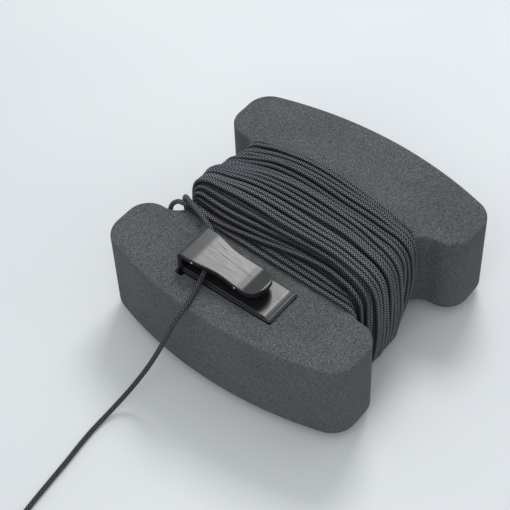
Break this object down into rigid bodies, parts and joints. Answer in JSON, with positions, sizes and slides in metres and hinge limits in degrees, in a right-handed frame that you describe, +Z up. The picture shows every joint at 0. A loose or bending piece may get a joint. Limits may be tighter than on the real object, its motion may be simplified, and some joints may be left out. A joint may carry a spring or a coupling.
{
  "type": "string reel",
  "caption": "H-shaped foam winder with cord wound round its waist and a sprung clip that holds the cord's free end.",
  "frame": {"origin": "on the resting surface under the block's centre: the flattened underside of the winding is at z = 0", "axes": "+X along the two flanges, +Y across them from the clip's flange to the plain one, +Z up"},
  "size_m": [0.15, 0.2918, 0.0703],
  "materials": {
    "foam": "closed-cell EVA foam, cut and skived, dull and finely grained",
    "clip_plastic": "black moulded plastic, satin gloss",
    "cord": "dark braided polyester cord"
  },
  "bodies": {
    "block": {"foam_block": "foam", "clip_base": "clip_plastic", "wound_cord": "cord", "cord_bight": "cord", "cord_lead": "cord", "end_knot": "cord"},
    "lever": {"clip_lever": "clip_plastic"}
  },
  "joints": [
    {"name": "lever_flex", "type": "hinge", "parent": "block", "child": "lever", "pos_m": [-0.0235, -0.0485, 0.0688], "axis": [0, -1, 0], "range_deg": [-3, 10], "stiffness_Nm_per_rad": 0.4}
  ]
}
